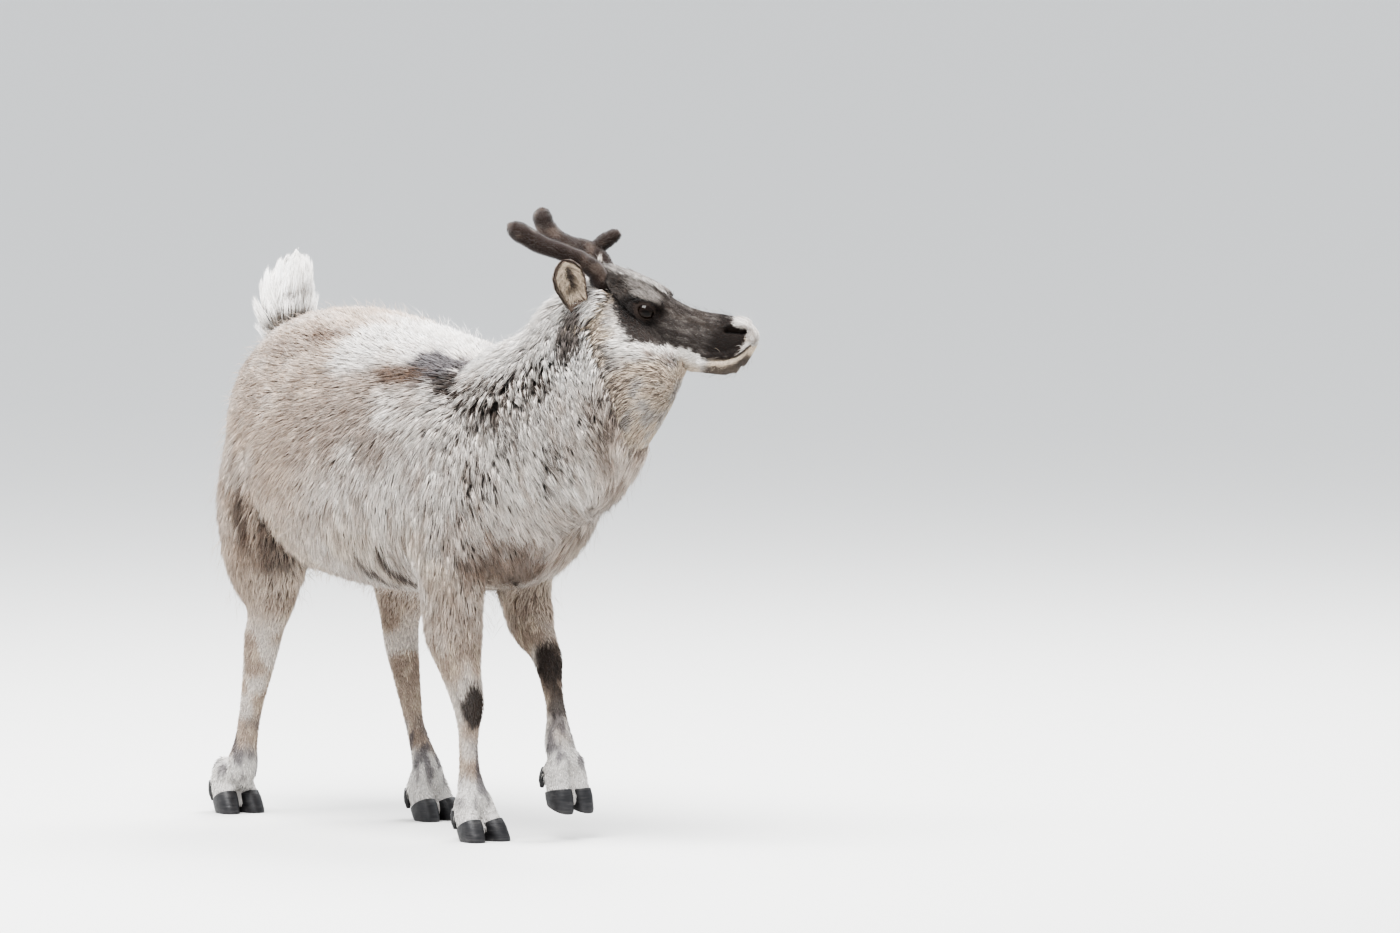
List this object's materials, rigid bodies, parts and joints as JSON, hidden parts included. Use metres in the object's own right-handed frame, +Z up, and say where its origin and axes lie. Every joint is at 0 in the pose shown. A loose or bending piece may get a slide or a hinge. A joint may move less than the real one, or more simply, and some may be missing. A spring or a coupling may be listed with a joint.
{
  "type": "reindeer",
  "caption": "Life-size still model of a young reindeer in a pale winter coat and short velvet antlers, walking with one forefoot lifted and its head turned to the left",
  "frame": {"origin": "on the floor plane, under the middle of the whole animal's bounding box", "axes": "+X along the trunk towards the chest, +Y to the animal's left, +Z up"},
  "size_m": [1.0264, 0.438, 0.9646],
  "materials": {
    "body_fur": "pale, clumped winter coat, matt",
    "face_fur": "short charcoal-brown face coat with white nose and cheeks, matt",
    "leg_fur": "short beige leg coat, dark on the front of the knees, matt",
    "tail_fur": "long white tail hair, matt",
    "velvet": "dense dark brown velvet over growing antler, matt",
    "horn": "dark grey hoof horn, satin",
    "eye": "wet, near-black eye, glossy"
  },
  "bodies": {
    "root": {"leg_hind_right_upper": "leg_fur", "leg_hind_right_lower": "leg_fur", "hoof_left_hind_right": "horn", "dewclaw_left_hind_right": "horn", "hoof_right_hind_right": "horn", "dewclaw_right_hind_right": "horn", "leg_hind_left_upper": "leg_fur", "leg_hind_left_lower": "leg_fur", "hoof_left_hind_left": "horn", "dewclaw_left_hind_left": "horn", "hoof_right_hind_left": "horn", "dewclaw_right_hind_left": "horn", "leg_front_right_upper": "leg_fur", "leg_front_right_lower": "leg_fur", "hoof_left_front_right": "horn", "dewclaw_left_front_right": "horn", "hoof_right_front_right": "horn", "dewclaw_right_front_right": "horn", "leg_front_left_upper": "leg_fur", "leg_front_left_lower": "leg_fur", "hoof_left_front_left": "horn", "dewclaw_left_front_left": "horn", "hoof_right_front_left": "horn", "dewclaw_right_front_left": "horn", "ear_left": "body_fur", "eye_left": "eye", "antler_left_beam": "velvet", "antler_left_brow_tine": "velvet", "ear_right": "body_fur", "eye_right": "eye", "antler_right_beam": "velvet", "head": "face_fur", "neck": "body_fur", "tail": "tail_fur", "torso": "body_fur"}
  },
  "joints": []
}
